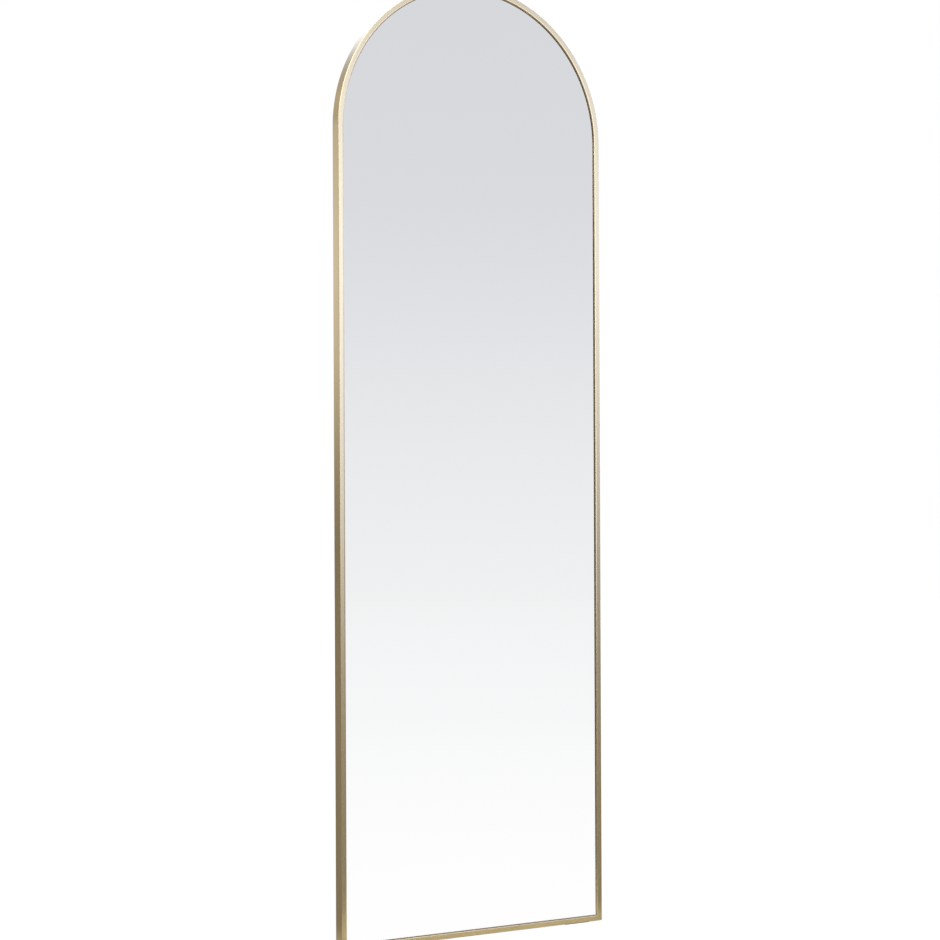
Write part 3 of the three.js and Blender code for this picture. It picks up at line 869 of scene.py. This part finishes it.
class MIRROR_OT_foot_pads(bpy.types.Operator):
    """Presses the two thin pads that the bottom rail stands on"""

    bl_idname = "floor_mirror.foot_pads"
    bl_label = "Foot pads"

    def execute(self, context):
        for side in ("left", "right"):
            low, high = span(f"foot_pad_{side}")
            vertices, faces, corners = stacked(self.press_pad(low, high))
            pad = new_piece(f"pad_{side}", vertices, faces, corners[:, :2], moulded_rubber)
            settle(pad, f"foot_pad_{side}")
        return {"FINISHED"}

    def press_pad(self, low, high):
        """A stack of rounded rectangles: each is the outline less an inset that follows a quarter circle,
        inset edge (1 - sin a) at a height of edge (1 - cos a)."""
        middle, half = (low + high) / 2, (high - low) / 2
        turns = np.linspace(0, math.pi / 2, 5)
        levels = [(PAD_EDGE * (1 - math.sin(a)), PAD_EDGE * (1 - math.cos(a))) for a in turns]
        tall = high[2] - low[2]
        x, y = half[0] - PAD_CORNER, half[1] - PAD_CORNER
        rows = []
        for inset, rise in levels + [(inset, tall - rise) for inset, rise in reversed(levels)]:
            radius = PAD_CORNER - inset
            quarters = [
                arc((x, y), radius, 0, 90, 8), arc((-x, y), radius, 90, 180, 8),
                arc((-x, -y), radius, 180, 270, 8), arc((x, -y), radius, 270, 360, 8),
            ]
            flat = np.concatenate(quarters) + middle[:2]
            rows.append(np.column_stack([flat, np.full(len(flat), low[2] + rise)]))
        return np.array(rows)


# ---------------------------------------------------------------------------------------------------
# Stage

# The pale studio as the mirror shows it: the sine of the elevation, and the colour in that direction.
SKY = [
    (-0.056, (0.885, 0.890, 0.895)),
    (0.0, (0.838, 0.842, 0.855)),
    (0.0305, (0.803, 0.811, 0.827)),
    (0.065, (0.757, 0.771, 0.801)),
    (0.117, (0.705, 0.719, 0.749)),
    (0.168, (0.690, 0.704, 0.733)),
    (0.26, (0.67, 0.685, 0.70)),
    (0.9, (0.62, 0.63, 0.64)),
]
# The floor likewise: the distance from the mirror as a share of the disc, and the colour.
GROUND = [
    (0.04, (1.006, 1.006, 1.006)),
    (0.16, (0.98, 0.98, 0.985)),
    (0.34, (0.94, 0.95, 0.955)),
    (0.68, (0.913, 0.92, 0.928)),
    (1.0, (0.892, 0.898, 0.903)),
]
# Soft light panels of the studio: heading of the middle (0 in front of the mirror, 90 to its right), half
# width and softness of the sides, height and softness of the lower edge, then of the upper edge, all in
# degrees, and the light's colour at full strength.
LIGHTS = [
    (10, 14, 7, -6, 9, 4, 11, (1.35, 1.42, 1.70)),
    (41, 28, 19, 6, 11, 9, 6, (2.74, 3.01, 4.00)),
    (-171, 29, 16, 3, 4, 4, 11, (1.82, 1.74, 1.58)),
    (126, 38, 36, 18, 5, 42, 14, (1.36, 1.49, 1.80)),
    (-18, 39, 7, 12, 4, 55, 11, (3.22, 3.07, 2.86)),
    (-116, 37, 20, 13, 6, 74, 14, (0.72, 0.65, 0.55)),
    (144, 36, 20, 4, 10, 33, 15, (0.54, 0.60, 0.71)),
]
AMBIENT = (0.20, 0.16, 0.11)


def ramp(tree, value, stops, low, high):
    """Colours between stops over a range of a value."""
    share = remap(tree, value, low, high, 0, 1)
    item = put(tree, "ShaderNodeValToRGB", {"Fac": share})
    elements = item.color_ramp.elements
    while len(elements) < len(stops):
        elements.new(0.5)
    for element, (position, rgb) in zip(elements, stops):
        element.position = (position - low) / (high - low)
        element.color = (*rgb, 1)
    return item.outputs["Color"]


def direct_sight(tree, most_depth):
    """1 for what the camera sees, and 1 for what the mirror shows it, as two outputs. The mirror's own
    rays have at most that depth, which counts one more in a world than on a surface."""
    path = put(tree, "ShaderNodeLightPath").outputs
    first = calculate(tree, "LESS_THAN", path["Ray Depth"], most_depth + 0.5)
    return path["Is Camera Ray"], calculate(tree, "MULTIPLY", path["Is Singular Ray"], first)


class MIRROR_OT_stage(bpy.types.Operator):
    """Sets up the pale floor, the studio light and the camera"""

    bl_idname = "floor_mirror.stage"
    bl_label = "Floor, light and camera"

    def execute(self, context):
        self.lay_floor(context)
        self.light_world(context)
        self.place_camera(context)
        context.scene.view_settings.view_transform = "Standard"
        return {"FINISHED"}

    def lay_floor(self, context):
        """A disc: the places r (cos a, sin a) for radii that grow by a constant factor."""
        settings = context.scene.mirror_stage
        sides = 96
        radii = settings.floor_radius * np.geomspace(0.01, 1, 12)
        angles = 2 * np.pi * np.arange(sides) / sides
        circle = np.stack([np.cos(angles), np.sin(angles), np.zeros(sides)], axis=1)
        rings = radii[:, None, None] * circle[None]
        count = len(radii)
        low = np.arange(count - 1)[:, None] * sides
        high = low + sides
        a, b = np.arange(sides), (np.arange(sides) + 1) % sides
        quads = np.stack([low + a, high + a, high + b, low + b], axis=-1).reshape(-1, 4).tolist()
        vertices = np.concatenate([rings.reshape(-1, 3), [[0.0, 0.0, 0.0]]])
        fans = np.stack([a, b, np.full(sides, count * sides)], axis=-1).tolist()
        mesh = bpy.data.meshes.new("floor")
        mesh.from_pydata(vertices.tolist(), [], quads + fans)
        mesh.update()
        floor = bpy.data.objects.new("floor", mesh)
        context.scene.collection.objects.link(floor)

        material = bpy.data.materials.new("pale floor")
        material.use_nodes = True
        tree = material.node_tree
        tree.nodes.clear()
        seen, mirrored = direct_sight(tree, 1)
        place = put(tree, "ShaderNodeTexCoord").outputs["Object"]
        reach = vector_step(tree, "LENGTH", place).outputs["Value"]
        # Within about half a metre of the mirror the matt tone is lighter: a painted pool of light round
        # its foot. The camera's white lift is lower there, so the floor still looks evenly white.
        away = remap(tree, reach, 0.25, 0.5, 0, 1, True)
        tone = blend_colours(tree, away, tuple(settings.floor_near_painted_light), tuple(settings.floor_far))
        matt = put(tree, "ShaderNodeBsdfDiffuse", {"Color": tone}).outputs["BSDF"]
        pale = ramp(tree, calculate(tree, "DIVIDE", reach, settings.floor_radius), GROUND, 0, 1)
        shown = put(tree, "ShaderNodeEmission", {"Color": pale, "Strength": mirrored}).outputs["Emission"]
        lift = blend_colours(tree, away, (0.68, 0.70, 0.77), (0.85, 0.87, 0.90))
        white = put(tree, "ShaderNodeEmission", {"Color": lift, "Strength": seen})
        lit = put(tree, "ShaderNodeAddShader", {0: matt, 1: white.outputs["Emission"]}).outputs["Shader"]
        mixed = put(tree, "ShaderNodeMixShader", {"Fac": mirrored, 1: lit, 2: shown}).outputs["Shader"]
        put(tree, "ShaderNodeOutputMaterial", {"Surface": mixed})
        mesh.materials.append(material)

    def light_world(self, context):
        """White where the camera looks past the object, the pale studio in the mirror, and the ambient
        light and soft panels for everything else."""
        world = bpy.data.worlds.new("studio")
        context.scene.world = world
        world.use_nodes = True
        tree = world.node_tree
        tree.nodes.clear()
        direction = put(tree, "ShaderNodeTexCoord").outputs["Generated"]
        rise = put(tree, "ShaderNodeSeparateXYZ", {"Vector": direction}).outputs["Z"]
        elevation = calculate(tree, "DEGREES", calculate(tree, "ARCSINE", rise))
        flat = vector_step(tree, "MULTIPLY", direction, (1, 1, 0)).outputs["Vector"]
        level = vector_step(tree, "NORMALIZE", flat).outputs["Vector"]
        total = AMBIENT
        for panel in LIGHTS:
            total = self.add_panel(tree, level, elevation, total, panel)
        seen, mirrored = direct_sight(tree, 2)
        lights, pale, white = (
            put(tree, "ShaderNodeBackground", {"Color": light, "Strength": 1}).outputs["Background"]
            for light in (total, ramp(tree, rise, SKY, -0.1, 0.9), (1, 1, 1, 1))
        )
        mixed = put(tree, "ShaderNodeMixShader", {"Fac": mirrored, 1: lights, 2: pale}).outputs["Shader"]
        shown = put(tree, "ShaderNodeMixShader", {"Fac": seen, 1: mixed, 2: white}).outputs["Shader"]
        put(tree, "ShaderNodeOutputWorld", {"Surface": shown})

    def add_panel(self, tree, level, elevation, total, panel):
        """One panel on top of the total: the product of three smooth steps, of the cosine of the heading
        from the middle and of the elevation at its lower and upper edge."""
        heading, half, soft, low, low_soft, high, high_soft, hue = panel
        turn = math.radians(heading)
        middle = (math.sin(turn), -math.cos(turn), 0)
        facing = vector_step(tree, "DOT_PRODUCT", level, middle).outputs["Value"]
        end, full = math.cos(math.radians(half + soft)), math.cos(math.radians(half - soft))
        sides = remap(tree, facing, end, full, 0, 1, True)
        under = remap(tree, elevation, low - low_soft, low + low_soft, 0, 1, True)
        over = remap(tree, elevation, high - high_soft, high + high_soft, 1, 0, True)
        share = calculate(tree, "MULTIPLY", calculate(tree, "MULTIPLY", sides, under), over)
        return vector_step(tree, "MULTIPLY_ADD", share, hue, total).outputs["Vector"]

    def place_camera(self, context):
        """A camera level with the floor but for its roll, turned by the heading."""
        settings = context.scene.mirror_stage
        data = bpy.data.cameras.new("camera")
        data.lens = settings.lens / MM
        data.sensor_width = 36
        data.clip_start, data.clip_end = 0.1, 100
        camera = bpy.data.objects.new("camera", data)
        context.scene.collection.objects.link(camera)
        ahead = Vector((math.sin(settings.heading), math.cos(settings.heading), 0))
        right = ahead.cross(UP)
        level = Matrix((right, UP, -ahead)).transposed().to_4x4()
        place = Matrix.Translation((settings.camera_x, settings.camera_y, settings.camera_z))
        camera.matrix_world = place @ level @ Matrix.Rotation(settings.roll, 4, "Z")
        context.scene.camera = camera


class MIRROR_PT_panel(bpy.types.Panel):
    """Buttons for every operator, and the settings by group"""

    bl_idname = "MIRROR_PT_panel"
    bl_label = "Floor Mirror"
    bl_space_type = "VIEW_3D"
    bl_region_type = "UI"
    bl_category = "Floor Mirror"

    def draw(self, context):
        for operator in OPERATORS:
            self.layout.operator(operator.bl_idname)
        for name, group in GROUPS.items():
            box = self.layout.box()
            for key in group.__annotations__:
                box.prop(getattr(context.scene, name), key)


GROUPS = {
    "mirror_frame": FrameSettings,
    "mirror_glazing": GlazingSettings,
    "mirror_back": BackSettings,
    "mirror_stage": StageSettings,
}
OPERATORS = [
    MIRROR_OT_frame,
    MIRROR_OT_glazing,
    MIRROR_OT_backing_board,
    MIRROR_OT_screws,
    MIRROR_OT_hangers,
    MIRROR_OT_bumpers,
    MIRROR_OT_foot_pads,
    MIRROR_OT_stage,
]


def register():
    for item in [*GROUPS.values(), *OPERATORS, MIRROR_PT_panel]:
        bpy.utils.register_class(item)
    for name, group in GROUPS.items():
        setattr(bpy.types.Scene, name, PointerProperty(type=group))


def unregister():
    for name in GROUPS:
        delattr(bpy.types.Scene, name)
    for item in [MIRROR_PT_panel, *reversed(OPERATORS), *reversed(GROUPS.values())]:
        bpy.utils.unregister_class(item)


def main():
    register()
    for operator in OPERATORS:
        category, name = operator.bl_idname.split(".")
        getattr(getattr(bpy.ops, category), name)()
    bpy.context.view_layer.update()


if __name__ == "__main__":
    main()
